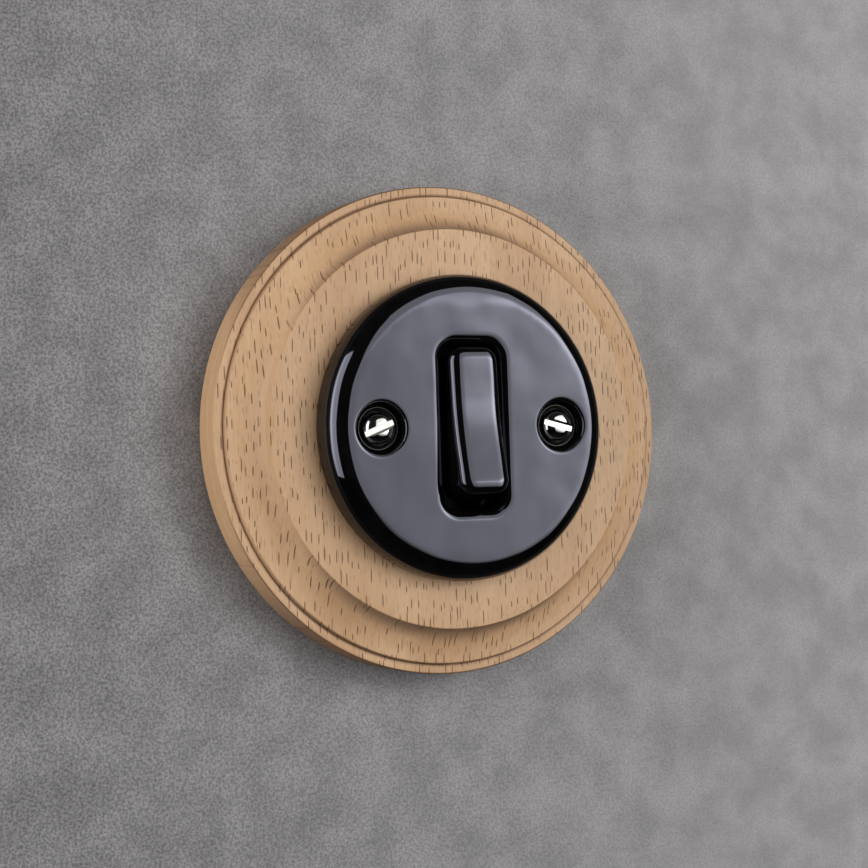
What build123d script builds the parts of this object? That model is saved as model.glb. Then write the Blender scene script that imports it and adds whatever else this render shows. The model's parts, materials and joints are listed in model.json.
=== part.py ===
from build123d import *
import os
from math import cos, radians, sin, tan

# A round two-way light switch: a black ceramic cover and rocker on a turned wooden backplate.
# It is modelled lying on its back, with X to the right, Y up the wall and Z out of the wall, and
# Z = 0 where the backplate meets the wall. The last step stands every piece up against the wall,
# so that in the finished frame +Z is up and the front faces -Y. Sizes are in millimetres.

# Turned wooden backplate
WOOD_DIAMETER = 105.0
WOOD_THICKNESS = 15.3
WOOD_SIDE_HEIGHT = 7.0
LIP_RADIUS = 2.3
QUIRK_STEP = 1.0
PLATEAU_DIAMETER = 85.2
WOOD_OPENING_DIAMETER = 54.0
WOOD_BACK_CHAMFER = 0.6

# Ceramic cover
COVER_DIAMETER = 65.0
COVER_HEIGHT = 7.6
COVER_EDGE_RADIUS = 3.8
COVER_WALL = 4.7
COVER_TOP = 4.3
COVER_INNER_RADIUS = 1.5
BOSS_DIAMETER = 14.0
BOSS_DEPTH = 1.4
RECESS_DEPTH = 2.66
RECESS_LIP_RADIUS = 1.05
RECESS_CLEARANCE = 0.2
SLOT_CORNER_RADIUS = 4.0
SLOT_LIP_RADIUS = 2.0

# Cover screws and washers
SCREW_SPACING = 42.0
SCREW_DIAMETER = 4.0
SCREW_LENGTH = 25.0
SCREW_HEAD_DIAMETER = 7.0
SCREW_HEAD_RIM = 0.76
SCREW_HEAD_DOME = 1.4
SCREW_SLOT_WIDTH = 1.1
SCREW_SLOT_DEPTH = 1.5
SCREW_TURNS = {"left": 21.0, "right": -14.5}
SCREW_HOLE_CLEARANCE = 0.3
SCREW_TIP_CHAMFER = 0.4
THREAD_CLEARANCE = 0.05
WASHER_DIAMETER = 9.0
WASHER_THICKNESS = 0.6

# Rocker, level; at rest it is tilted with its upper end pressed in
ROCKER_WIDTH = 11.2
ROCKER_LENGTH = 31.0
ROCKER_STANDING = 3.1
ROCKER_DEPTH = 8.8
ROCKER_BEND = 5.0
ROCKER_BEND_RADIUS = 60.0
ROCKER_TILT = 8.0
ROCKER_DRAFT = 2.0
ROCKER_CORNER_RADIUS = 3.2
ROCKER_EDGE_RADIUS = 2.0
ROCKER_SIDE_GAP = 0.8
ROCKER_END_GAP = 1.7
ROCKER_SIDE_WALL = 2.0
ROCKER_END_WALL = 4.4
ROCKER_FACE_WALL = 3.0
CEMENT_GAP = 0.1

# Support plate
PLATE_RIM = 2.5
PLATE_THICKNESS = 1.2
PLATE_EDGE_CLEARANCE = 1.0
BOX_SCREW_SPACING = 60.0
BOX_SLOT_WIDTH = 4.2
BOX_SLOT_LENGTH = 7.0
BOX_SCREW_HEAD_ROOM = 2.0
COLLAR_DIAMETER = 6.4
COLLAR_DEPTH = 1.8

# Bearing of the rocker
PIN_DIAMETER = 2.5
PIN_FIT = 0.02
PIN_OVERHANG = 0.3
PIN_CHAMFER = 0.3
HUB_FIT = 0.04
HUB_DIAMETER = 6.0
HUB_PLAY = 0.25
HUB_CLEARANCE = 0.3
CHEEK_RADIUS = 2.3
CHEEK_THICKNESS = 3.0
CHEEK_FOOT = 12.0
CHEEK_CLEARANCE = 0.3

# Sprung plunger in the cradle's tube
PLUNGER_DIAMETER = 3.8
PLUNGER_FIT = 0.08
PLUNGER_GRIP = 2.6
PLUNGER_BORE = 2.7
PLUNGER_TIP_WALL = 2.3
PLUNGER_MID_GAP = 0.05
TUBE_WALL = 1.0
TUBE_END_CLEARANCE = 1.0
TUBE_ROOF = 0.7
SPRING_WIRE = 0.4
SPRING_COIL = 2.0
SPRING_TURNS = 5

# Rocking contact lever on its bead
LEVER_HEIGHT = 0.45
LEVER_TILT = 10.0
LEVER_WIDTH = 6.0
LEVER_THICKNESS = 0.9
LEVER_REACH = 10.6
LEVER_WING_RISE = 0.2
LEVER_FIT = 0.05
BEAD_RADIUS = 2.0
STRIP_THICKNESS = 0.8
STRIP_WIDTH = 5.2
CONTACT_REACH = 9.0
CONTACT_DIAMETER = 3.0
CONTACT_CROWN = 4.0
CONTACT_HEIGHT = 0.8
CONTACT_SHANK = 1.4
CONTACT_GAP = 0.05
FIXED_CONTACT_HEIGHT = 0.7
SHANK_CLEARANCE = 0.02

# Moulded base and bridge
BASE_WIDTH = 29.0
BASE_LENGTH = 38.0
BASE_CORNER_RADIUS = 2.0
BASE_FLOOR = 3.0
BASE_GUARD = 1.8
CHAMBER_WIDTH = 16.8
CHAMBER_END_WALL = 5.6
CHAMBER_CORNER_RADIUS = 1.5
OPENING_CLEARANCE = 0.3
CORE_WALL = 2.6
BRIDGE_FLANGE = 2.5
BRIDGE_WALL = 2.0
LEVER_ROOM = 1.6
ROOF_THICKNESS = 2.4
WINDOW_CLEARANCE = 0.6
BRIDGE_SCREW_EDGE = 2.5
BRIDGE_SCREW_DIAMETER = 2.2
BRIDGE_SCREW_GRIP = 5.0
BRIDGE_SCREW_HEAD = 4.2
BRIDGE_SCREW_RIM = 0.5
BRIDGE_SCREW_DOME = 0.8
BRIDGE_SCREW_SLOT = 0.7

# Pillar terminals
TERMINAL_X = 6.4
TERMINAL_FROM_END = 5.5
TERMINAL_SIZE = 7.4
TERMINAL_HEIGHT = 10.2
TERMINAL_CORNER_RADIUS = 0.6
TERMINAL_PLAY = 0.3
NECK_SIZE = 3.0
NECK_OFFSET = 2.0
WIRE_BORE_DIAMETER = 3.2
WIRE_BORE_DEPTH = 8.0
CLAMP_SCREW_DIAMETER = 3.0
CLAMP_SCREW_HEAD = 5.5
CLAMP_SCREW_RIM = 1.4
CLAMP_SCREW_DOME = 0.4
CLAMP_SCREW_SLOT = 0.9
CLAMP_SCREW_BACKED_OUT = 1.5
CLAMP_SCREW_FROM_MOUTH = 3.4

# Heights above the wall, worked out from the sizes above
COVER_FACE = WOOD_THICKNESS + COVER_HEIGHT
COVER_CEILING = COVER_FACE - COVER_TOP
RECESS_FLOOR = COVER_FACE - RECESS_DEPTH
SCREW_SEAT = RECESS_FLOOR + WASHER_THICKNESS
PIVOT_HEIGHT = COVER_CEILING - CHEEK_CLEARANCE - CHEEK_RADIUS
ROCKER_MID = COVER_FACE + ROCKER_STANDING
ROCKER_SKIRT = ROCKER_MID - ROCKER_DEPTH

# The lever's lower contact is closed at rest, and sets the height of the fixed contacts below it
BEAD_ARCH_RADIUS = BEAD_RADIUS + LEVER_FIT
ARCH_RADIUS = BEAD_ARCH_RADIUS + LEVER_THICKNESS
CROWN_CENTRE = LEVER_WING_RISE - CONTACT_HEIGHT + CONTACT_CROWN
CLOSED_CONTACT = (LEVER_HEIGHT - CONTACT_REACH * sin(radians(LEVER_TILT))
                  + CROWN_CENTRE * cos(radians(LEVER_TILT)) - CONTACT_CROWN)
CLOSED_REACH = (CONTACT_REACH * cos(radians(LEVER_TILT))
                + CROWN_CENTRE * sin(radians(LEVER_TILT)))
STRIP_TOP = CLOSED_CONTACT - CONTACT_GAP - FIXED_CONTACT_HEIGHT
CHAMBER_FLOOR = STRIP_TOP - STRIP_THICKNESS
DECK_BOTTOM = CHAMBER_FLOOR - BASE_FLOOR
TERMINAL_BACK = DECK_BOTTOM - TERMINAL_HEIGHT
BASE_BACK = TERMINAL_BACK - BASE_GUARD

# The bridge's roof clears the raised wing, and the plunger reaches the top of the lever's arch
RAISED_WING = (LEVER_HEIGHT + (LEVER_WING_RISE + LEVER_THICKNESS) * cos(radians(LEVER_TILT))
               + LEVER_REACH * sin(radians(LEVER_TILT)))
FLANGE_TOP = PLATE_THICKNESS + BRIDGE_FLANGE
ROOF_BOTTOM = RAISED_WING + LEVER_ROOM
ROOF_TOP = ROOF_BOTTOM + ROOF_THICKNESS
TUBE_END = ROOF_TOP + TUBE_END_CLEARANCE
TUBE_BORE_END = PIVOT_HEIGHT - PIN_DIAMETER / 2 - HUB_FIT - TUBE_ROOF
PLUNGER_TIP = LEVER_HEIGHT + ARCH_RADIUS + PLUNGER_MID_GAP
PLUNGER_TOP = TUBE_END + PLUNGER_GRIP
SPRING_SEAT = PLUNGER_TIP + PLUNGER_TIP_WALL

# The plate's rim goes round the box slots, and places on the base follow from its size
PLATE_DIAMETER = BOX_SCREW_SPACING + BOX_SLOT_LENGTH + 2 * PLATE_RIM
CHAMBER_LENGTH = BASE_LENGTH - 2 * CHAMBER_END_WALL
TERMINAL_Y = BASE_LENGTH / 2 - TERMINAL_FROM_END
BRIDGE_SCREW_X = BASE_WIDTH / 2 - BRIDGE_SCREW_EDGE
BRIDGE_SCREW_Y = BASE_LENGTH / 2 - BRIDGE_SCREW_EDGE

SLOT_WIDTH = ROCKER_WIDTH + 2 * ROCKER_SIDE_GAP
SLOT_LENGTH = ROCKER_LENGTH + 2 * ROCKER_END_GAP
SIDES = {"left": -1, "right": 1}
ENDS = {"upper": 1, "lower": -1}


def slab(outline, bottom, top):
    """Prism on a flat outline, between two heights above the wall."""
    return extrude(Pos(0, 0, bottom) * outline, top - bottom)


def rod(diameter, bottom, top, x=0.0, y=0.0):
    """Round rod that stands on the wall side, between two heights."""
    return slab(Pos(x, y) * Circle(diameter / 2), bottom, top)


def turned(half_section):
    """Solid of revolution about Z, from a half section drawn as radius and height."""
    return revolve(Plane.XZ * half_section, Axis.Z)


def across(section, width):
    """Prism of a side section, drawn as Y and Z, that runs along X and is centred on X = 0."""
    return extrude(Plane.YZ * section, width / 2, both=True)


def tilted(piece, height, degrees):
    """The piece turned about an axis along X at this height; positive lifts its upper end."""
    return Pos(0, 0, height) * Rot(degrees, 0, 0) * Pos(0, 0, -height) * piece


def rocked(piece):
    """A piece of the rocker, modelled level, in its rest pose with the upper end pressed in."""
    return tilted(piece, PIVOT_HEIGHT, -ROCKER_TILT)


def slotted_screw(diameter, length, head_diameter, rim, dome, slot_width, slot_depth):
    """Slotted screw that points down, with the underside of its head at height 0."""
    shank, head, tip = diameter / 2, head_diameter / 2, SCREW_TIP_CHAMFER
    outline = Polyline(
        (0, rim + dome), (0, -length), (shank - tip, -length), (shank, tip - length),
        (shank, 0), (head, 0), (head, rim),
    ) + TangentArc((0, rim + dome), (head, rim), tangent=(1, 0))
    slot_outline = Rectangle(2 * head_diameter, slot_width)
    slot_floor = rim + dome - slot_depth
    return turned(make_face(outline)) - slab(slot_outline, slot_floor, rim + 2 * dome)


def wood_backplate():
    """Turned backplate: straight side, rounded lip, quirk, cove and plateau, hollowed at the back."""
    side = WOOD_DIAMETER / 2
    quirk = side - LIP_RADIUS
    lip_top = WOOD_SIDE_HEIGHT + LIP_RADIUS
    cove_foot = lip_top + QUIRK_STEP
    plateau = PLATEAU_DIAMETER / 2
    opening = WOOD_OPENING_DIAMETER / 2
    recess = PLATE_DIAMETER / 2 + PLATE_EDGE_CLEARANCE
    recess_floor = PLATE_THICKNESS + BOX_SCREW_HEAD_ROOM
    cove = EllipticalCenterArc((quirk, WOOD_THICKNESS), quirk - plateau,
                               WOOD_THICKNESS - cove_foot, 180, arc_size=90)
    lip = CenterArc((quirk, WOOD_SIDE_HEIGHT), LIP_RADIUS, 90, -90)
    front = Polyline((opening, recess_floor), (opening, WOOD_THICKNESS), (plateau, WOOD_THICKNESS))
    quirk_wall = Line((quirk, cove_foot), (quirk, lip_top))
    back = Polyline(
        (side, WOOD_SIDE_HEIGHT), (side, WOOD_BACK_CHAMFER), (side - WOOD_BACK_CHAMFER, 0),
        (recess, 0), (recess, recess_floor), (opening, recess_floor),
    )
    return turned(make_face(front + cove + quirk_wall + lip + back))


def ceramic_cover():
    """Round cover with a rounded edge, two sunk screw holes on bosses, and the rocker's slot."""
    outer = COVER_DIAMETER / 2
    cavity = outer - COVER_WALL
    inner_arc = CenterArc((cavity - COVER_INNER_RADIUS, COVER_CEILING - COVER_INNER_RADIUS),
                          COVER_INNER_RADIUS, 90, -90)
    edge_arc = CenterArc((outer - COVER_EDGE_RADIUS, COVER_FACE - COVER_EDGE_RADIUS),
                         COVER_EDGE_RADIUS, 0, 90)
    inside = Line((0, COVER_CEILING), (cavity - COVER_INNER_RADIUS, COVER_CEILING))
    rim = Polyline(
        (cavity, COVER_CEILING - COVER_INNER_RADIUS), (cavity, WOOD_THICKNESS),
        (outer, WOOD_THICKNESS), (outer, COVER_FACE - COVER_EDGE_RADIUS),
    )
    face = Polyline((outer - COVER_EDGE_RADIUS, COVER_FACE), (0, COVER_FACE), (0, COVER_CEILING))
    cover = turned(make_face(inside + inner_arc + rim + edge_arc + face))
    recess = WASHER_DIAMETER + 2 * RECESS_CLEARANCE
    hole = SCREW_DIAMETER + 2 * SCREW_HOLE_CLEARANCE
    above = COVER_FACE + COVER_TOP
    for side in SIDES.values():
        x = side * SCREW_SPACING / 2
        cover += rod(BOSS_DIAMETER, COVER_CEILING - BOSS_DEPTH, RECESS_FLOOR, x)
    for side in SIDES.values():
        x = side * SCREW_SPACING / 2
        cover -= rod(recess, RECESS_FLOOR, above, x)
        cover -= rod(hole, WOOD_THICKNESS, above, x)
    slot = RectangleRounded(SLOT_WIDTH, SLOT_LENGTH, SLOT_CORNER_RADIUS)
    cover -= slab(slot, WOOD_THICKNESS, above)
    lips = sorted(cover.faces().sort_by(Axis.Z)[-1].inner_wires(), key=lambda wire: wire.length)
    cover = fillet(lips[-1].edges(), SLOT_LIP_RADIUS)
    lips = sorted(cover.faces().sort_by(Axis.Z)[-1].inner_wires(), key=lambda wire: wire.length)
    return fillet(lips[0].edges() + lips[1].edges(), RECESS_LIP_RADIUS)


def cover_screw(side):
    """Raised-head screw through the cover into the plate; it clamps the backplate to the wall."""
    screw = slotted_screw(SCREW_DIAMETER - 2 * THREAD_CLEARANCE, SCREW_LENGTH, SCREW_HEAD_DIAMETER,
                          SCREW_HEAD_RIM, SCREW_HEAD_DOME, SCREW_SLOT_WIDTH, SCREW_SLOT_DEPTH)
    return Pos(SIDES[side] * SCREW_SPACING / 2, 0, SCREW_SEAT) * Rot(0, 0, SCREW_TURNS[side]) * screw


def cover_washer(side):
    """Flat washer between a cover screw's head and the floor of its recess."""
    ring = Circle(WASHER_DIAMETER / 2) - Circle(SCREW_DIAMETER / 2 + SCREW_HOLE_CLEARANCE / 2)
    return slab(Pos(SIDES[side] * SCREW_SPACING / 2, 0) * ring, RECESS_FLOOR, SCREW_SEAT)


def rocker_key():
    """Ceramic rocker: a drafted key with a dished face and rounded edges, hollow underneath."""
    reach = ROCKER_LENGTH
    bend_y = ROCKER_BEND_RADIUS * sin(radians(ROCKER_BEND))
    bend_z = ROCKER_MID + ROCKER_BEND_RADIUS * (1 - cos(radians(ROCKER_BEND)))
    end_z = bend_z + (reach - bend_y) * tan(radians(ROCKER_BEND))
    dish = ThreePointArc((-bend_y, bend_z), (0, ROCKER_MID), (bend_y, bend_z))
    rest = Polyline((bend_y, bend_z), (reach, end_z), (reach, ROCKER_SKIRT),
                    (-reach, ROCKER_SKIRT), (-reach, end_z), (-bend_y, bend_z))
    below_face = across(make_face(dish + rest), 2 * ROCKER_WIDTH)
    flare = 2 * ROCKER_DEPTH * tan(radians(ROCKER_DRAFT))
    plan = RectangleRounded(ROCKER_WIDTH + flare, ROCKER_LENGTH + flare, ROCKER_CORNER_RADIUS)
    key = extrude(Pos(0, 0, ROCKER_SKIRT) * plan, end_z - ROCKER_SKIRT, taper=ROCKER_DRAFT)
    key = key & below_face
    upper = [edge for edge in key.edges() if edge.center().Z > ROCKER_MID - ROCKER_EDGE_RADIUS]
    seams = [edge for edge in upper
             if edge.bounding_box().size.Y < ROCKER_SIDE_GAP and abs(edge.center().Y) < 2 * bend_y]
    rim = [edge for edge in upper if edge not in seams]
    key = fillet(rim, ROCKER_EDGE_RADIUS)
    hollow = Rectangle(ROCKER_WIDTH - 2 * ROCKER_SIDE_WALL, ROCKER_LENGTH - 2 * ROCKER_END_WALL)
    key -= slab(hollow, ROCKER_SKIRT, ROCKER_MID - ROCKER_FACE_WALL)
    hub_room = Pos(0, PIVOT_HEIGHT) * Circle(HUB_DIAMETER / 2 + HUB_CLEARANCE)
    return key - across(hub_room, 2 * ROCKER_WIDTH)


def rocker_cradle():
    """Moulded carrier cemented into the rocker, with the pivot hub and the plunger's tube."""
    tongue = Rectangle(ROCKER_WIDTH - 2 * (ROCKER_SIDE_WALL + CEMENT_GAP),
                       ROCKER_LENGTH - 2 * (ROCKER_END_WALL + CEMENT_GAP))
    cradle = slab(tongue, ROCKER_SKIRT, ROCKER_MID - ROCKER_FACE_WALL)
    axis_point = Pos(0, PIVOT_HEIGHT)
    cradle += across(axis_point * Circle(HUB_DIAMETER / 2), SLOT_WIDTH - 2 * HUB_PLAY)
    bore = PLUNGER_DIAMETER + 2 * PLUNGER_FIT
    cradle += rod(bore + 2 * TUBE_WALL, TUBE_END, PIVOT_HEIGHT)
    cradle -= rod(bore, TUBE_END, TUBE_BORE_END)
    return cradle - across(axis_point * Circle(PIN_DIAMETER / 2 + HUB_FIT), 2 * SLOT_WIDTH)


def pivot_pin():
    """Steel pin through both cheeks and the cradle's hub."""
    length = SLOT_WIDTH + 2 * (CHEEK_THICKNESS + PIN_OVERHANG)
    pin = across(Pos(0, PIVOT_HEIGHT) * Circle(PIN_DIAMETER / 2), length)
    return chamfer(pin.edges().filter_by(GeomType.CIRCLE), PIN_CHAMFER)


def plunger():
    """Cup-shaped plunger with a round nose, which the spring pushes against the lever."""
    radius, bore = PLUNGER_DIAMETER / 2, PLUNGER_BORE / 2
    nose = CenterArc((0, PLUNGER_TIP + radius), radius, -90, 90)
    cup = Polyline((radius, PLUNGER_TIP + radius), (radius, PLUNGER_TOP), (bore, PLUNGER_TOP),
                   (bore, SPRING_SEAT), (0, SPRING_SEAT), (0, PLUNGER_TIP))
    return turned(make_face(nose + cup))


def plunger_spring():
    """Coil spring between the plunger's cup and the blind end of the tube."""
    height = TUBE_BORE_END - SPRING_SEAT - SPRING_WIRE
    coil = Helix(height / SPRING_TURNS, height, SPRING_COIL / 2,
                 center=(0, 0, SPRING_SEAT + SPRING_WIRE / 2))
    wire = Plane(origin=coil @ 0, z_dir=coil % 0) * Circle(SPRING_WIRE / 2)
    return sweep(wire, path=coil, is_frenet=True)


def support_plate():
    """Round steel plate: slots for the wall box, tapped collars for the cover screws."""
    disc = Circle(PLATE_DIAMETER / 2)
    disc -= RectangleRounded(CHAMBER_WIDTH + 2 * OPENING_CLEARANCE,
                             CHAMBER_LENGTH + 2 * OPENING_CLEARANCE, CHAMBER_CORNER_RADIUS)
    box_slot = Pos(BOX_SCREW_SPACING / 2, 0) * SlotOverall(BOX_SLOT_LENGTH, BOX_SLOT_WIDTH)
    for turn in range(0, 360, 90):
        disc -= Rot(0, 0, turn) * box_slot
    for x, y in bridge_screw_places():
        disc -= Pos(x, y) * Circle(BRIDGE_SCREW_DIAMETER / 2 + THREAD_CLEARANCE)
    plate = slab(disc, 0, PLATE_THICKNESS)
    for side in SIDES.values():
        x = side * SCREW_SPACING / 2
        plate += rod(COLLAR_DIAMETER, -COLLAR_DEPTH, PLATE_THICKNESS, x)
        plate -= rod(SCREW_DIAMETER, -COLLAR_DEPTH, PLATE_THICKNESS, x)
    return plate


def bridge_screw_places():
    """Places of the four screws that clamp bridge, plate and base."""
    return [(side * BRIDGE_SCREW_X, end * BRIDGE_SCREW_Y)
            for side in SIDES.values() for end in ENDS.values()]


def bridge_screws():
    """Four small screws from the bridge's flange, through the plate, into the base."""
    length = FLANGE_TOP + BRIDGE_SCREW_GRIP
    screw = slotted_screw(BRIDGE_SCREW_DIAMETER, length, BRIDGE_SCREW_HEAD, BRIDGE_SCREW_RIM,
                          BRIDGE_SCREW_DOME, BRIDGE_SCREW_SLOT, BRIDGE_SCREW_SLOT)
    return Compound([Pos(x, y, FLANGE_TOP) * screw.solid() for x, y in bridge_screw_places()])


def contact_base():
    """Moulded base: contact chamber in front, four terminal bays and two cored pockets behind."""
    corner = BASE_CORNER_RADIUS
    bay_inner = TERMINAL_SIZE / 2 + TERMINAL_PLAY
    core_length = 2 * (TERMINAL_Y - bay_inner)
    base = slab(RectangleRounded(BASE_WIDTH, BASE_LENGTH, corner), BASE_BACK, 0)
    bay_length = BASE_LENGTH / 2 - core_length / 2
    bay = Rectangle(2 * bay_inner, bay_length, align=(Align.CENTER, Align.MIN))
    for side in SIDES.values():
        for turn in (0, 180):
            place = Rot(0, 0, turn) * Pos(side * TERMINAL_X, core_length / 2)
            base -= slab(place * bay, BASE_BACK, DECK_BOTTOM)
            neck = Pos(side * TERMINAL_X, TERMINAL_Y - NECK_OFFSET)
            neck_hole = Rectangle(NECK_SIZE + 2 * SHANK_CLEARANCE, NECK_SIZE + 2 * SHANK_CLEARANCE)
            base -= slab(Rot(0, 0, turn) * neck * neck_hole, DECK_BOTTOM, CHAMBER_FLOOR)
        pocket_width = (BASE_WIDTH - 3 * CORE_WALL) / 2
        pocket = RectangleRounded(pocket_width, core_length - 2 * CORE_WALL, corner)
        pocket_x = side * (pocket_width + CORE_WALL) / 2
        base -= slab(Pos(pocket_x, 0) * pocket, BASE_BACK, DECK_BOTTOM)
    chamber = RectangleRounded(CHAMBER_WIDTH, CHAMBER_LENGTH, CHAMBER_CORNER_RADIUS)
    base -= slab(chamber, CHAMBER_FLOOR, 0)
    hole = BRIDGE_SCREW_DIAMETER + 2 * THREAD_CLEARANCE
    for x, y in bridge_screw_places():
        base -= rod(hole, -BRIDGE_SCREW_GRIP - THREAD_CLEARANCE, 0, x, y)
    return base


def bearing_bridge():
    """Moulded front half: flange on the plate, roof over the lever, and the two bearing cheeks."""
    turret_width = SLOT_WIDTH + 2 * CHEEK_THICKNESS
    turret_length = 2 * (LEVER_REACH + LEVER_ROOM + BRIDGE_WALL)
    flange = RectangleRounded(BASE_WIDTH, BASE_LENGTH, BASE_CORNER_RADIUS)
    turret = RectangleRounded(turret_width, turret_length, BASE_CORNER_RADIUS)
    bridge = slab(flange, PLATE_THICKNESS, FLANGE_TOP) + slab(turret, PLATE_THICKNESS, ROOF_TOP)
    room = RectangleRounded(LEVER_WIDTH + 2 * LEVER_ROOM, turret_length - 2 * BRIDGE_WALL,
                            CHAMBER_CORNER_RADIUS)
    bridge -= slab(room, PLATE_THICKNESS, ROOF_BOTTOM)
    swing = (PIVOT_HEIGHT - ROOF_BOTTOM) * tan(radians(ROCKER_TILT)) + WINDOW_CLEARANCE
    window_width = PLUNGER_DIAMETER + 2 * WINDOW_CLEARANCE
    window = Rot(0, 0, 90) * SlotOverall(window_width + 2 * swing, window_width)
    bridge -= slab(window, ROOF_BOTTOM, ROOF_TOP)
    foot = Line((-CHEEK_FOOT / 2, ROOF_TOP), (CHEEK_FOOT / 2, ROOF_TOP))
    eye = Pos(0, PIVOT_HEIGHT) * Circle(CHEEK_RADIUS)
    pin_hole = Pos(0, PIVOT_HEIGHT) * Circle(PIN_DIAMETER / 2 + PIN_FIT)
    cheek = make_hull(eye.edges() + foot.edges()) - pin_hole
    bridge += across(cheek, turret_width) - across(cheek, SLOT_WIDTH)
    hole = BRIDGE_SCREW_DIAMETER + 2 * THREAD_CLEARANCE
    for x, y in bridge_screw_places():
        bridge -= rod(hole, PLATE_THICKNESS, FLANGE_TOP, x, y)
    return bridge


def contact_lever():
    """Bent strip whose arch rocks on the common strip's bead, with a wing for each contact."""
    wing_middle = LEVER_WING_RISE + LEVER_THICKNESS / 2
    wings = Pos(0, wing_middle) * Rectangle(2 * LEVER_REACH, LEVER_THICKNESS)
    above = Rectangle(2 * LEVER_REACH, 2 * LEVER_REACH, align=(Align.CENTER, Align.MIN))
    arch = Circle(ARCH_RADIUS) & (Pos(0, LEVER_WING_RISE) * above)
    section = wings + arch - Circle(BEAD_ARCH_RADIUS)
    lever = across(Pos(0, LEVER_HEIGHT) * section, LEVER_WIDTH)
    wing_low = LEVER_HEIGHT + LEVER_WING_RISE
    wing_top = wing_low + LEVER_THICKNESS
    hole = CONTACT_SHANK + 2 * SHANK_CLEARANCE
    for end in ENDS.values():
        lever -= rod(hole, wing_low, wing_top, 0, end * CONTACT_REACH)
    return tilted(lever, LEVER_HEIGHT, LEVER_TILT)


def lever_tip(end):
    """Domed contact button riveted under one wing of the lever."""
    wing_low = LEVER_HEIGHT + LEVER_WING_RISE
    y = ENDS[end] * CONTACT_REACH
    crown = Pos(0, y, LEVER_HEIGHT + CROWN_CENTRE) * Sphere(CONTACT_CROWN)
    head = rod(CONTACT_DIAMETER, wing_low - 2 * CONTACT_HEIGHT, wing_low, 0, y)
    shank = rod(CONTACT_SHANK, wing_low, wing_low + LEVER_THICKNESS, 0, y)
    return tilted((head & crown) + shank, LEVER_HEIGHT, LEVER_TILT)


def fixed_tip(end):
    """Flat contact button riveted to one fixed strip, under the lever's button when closed."""
    y = ENDS[end] * CLOSED_REACH
    return rod(CONTACT_DIAMETER, STRIP_TOP, STRIP_TOP + FIXED_CONTACT_HEIGHT, 0, y) + rod(
        CONTACT_SHANK, CHAMBER_FLOOR, STRIP_TOP, 0, y)


def fixed_strip(end):
    """Strip on the chamber's floor from one fixed contact to its left-hand terminal."""
    neck_y = TERMINAL_Y - NECK_OFFSET
    pad_start = CLOSED_REACH - STRIP_WIDTH / 2
    arm = Pos(-TERMINAL_X / 2, neck_y) * Rectangle(TERMINAL_X + NECK_SIZE, NECK_SIZE)
    pad = Pos(0, pad_start) * Rectangle(STRIP_WIDTH, neck_y + NECK_SIZE / 2 - pad_start,
                                        align=(Align.CENTER, Align.MIN))
    outline = arm + pad - Pos(0, CLOSED_REACH) * Circle(CONTACT_SHANK / 2 + SHANK_CLEARANCE)
    strip = slab(outline, CHAMBER_FLOOR, STRIP_TOP)
    return strip if ENDS[end] > 0 else mirror(strip, Plane.XZ)


def common_strip():
    """Strip with the round bead on which the lever rocks, joined to both right-hand terminals."""
    neck_y = TERMINAL_Y - NECK_OFFSET
    foot = Pos(-STRIP_WIDTH / 2, 0) * Rectangle(STRIP_WIDTH / 2 + TERMINAL_X, 2 * BEAD_RADIUS,
                                                align=(Align.MIN, Align.CENTER))
    bar = Pos(TERMINAL_X, 0) * Rectangle(NECK_SIZE, 2 * neck_y + NECK_SIZE)
    strip = slab(foot + bar, CHAMBER_FLOOR, STRIP_TOP)
    rise = LEVER_HEIGHT - STRIP_TOP
    legs = Pos(0, STRIP_TOP) * Rectangle(2 * BEAD_RADIUS, rise, align=(Align.CENTER, Align.MIN))
    inner = BEAD_RADIUS - STRIP_THICKNESS
    hollow = Pos(0, STRIP_TOP) * Rectangle(2 * inner, rise, align=(Align.CENTER, Align.MIN))
    axis_point = Pos(0, LEVER_HEIGHT)
    bead = legs + axis_point * Circle(BEAD_RADIUS) - hollow - axis_point * Circle(inner)
    return strip + across(bead, STRIP_WIDTH)


def terminal(end, side):
    """Brass pillar with a wire bore open to the back and a clamp screw hole from outside."""
    pillar = RectangleRounded(TERMINAL_SIZE, TERMINAL_SIZE, TERMINAL_CORNER_RADIUS)
    body = slab(pillar, TERMINAL_BACK, DECK_BOTTOM)
    body += slab(Pos(0, -NECK_OFFSET) * Rectangle(NECK_SIZE, NECK_SIZE), DECK_BOTTOM, CHAMBER_FLOOR)
    body -= rod(WIRE_BORE_DIAMETER, TERMINAL_BACK, TERMINAL_BACK + WIRE_BORE_DEPTH)
    screw_hole = Rot(-90, 0, 0) * rod(CLAMP_SCREW_DIAMETER, 0, TERMINAL_SIZE)
    body -= Pos(0, 0, TERMINAL_BACK + CLAMP_SCREW_FROM_MOUTH) * screw_hole
    return terminal_place(end, side) * body


def terminal_place(end, side):
    """Where a terminal modelled for the upper row goes; the lower row is turned round."""
    turn = 0 if ENDS[end] > 0 else 180
    x = SIDES[side] * ENDS[end] * TERMINAL_X
    return Rot(0, 0, turn) * Pos(x, TERMINAL_Y, 0)


def terminal_screw(end, side):
    """Clamp screw of one terminal, backed out so that the wire bore is free."""
    clear = WIRE_BORE_DIAMETER / 2 + TERMINAL_PLAY
    length = TERMINAL_SIZE / 2 + CLAMP_SCREW_BACKED_OUT - clear
    screw = slotted_screw(CLAMP_SCREW_DIAMETER - 2 * THREAD_CLEARANCE, length, CLAMP_SCREW_HEAD,
                          CLAMP_SCREW_RIM, CLAMP_SCREW_DOME, CLAMP_SCREW_SLOT, CLAMP_SCREW_SLOT)
    seat = Pos(0, TERMINAL_SIZE / 2 + CLAMP_SCREW_BACKED_OUT, TERMINAL_BACK + CLAMP_SCREW_FROM_MOUTH)
    return terminal_place(end, side) * seat * Rot(-90, 0, 0) * screw


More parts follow.
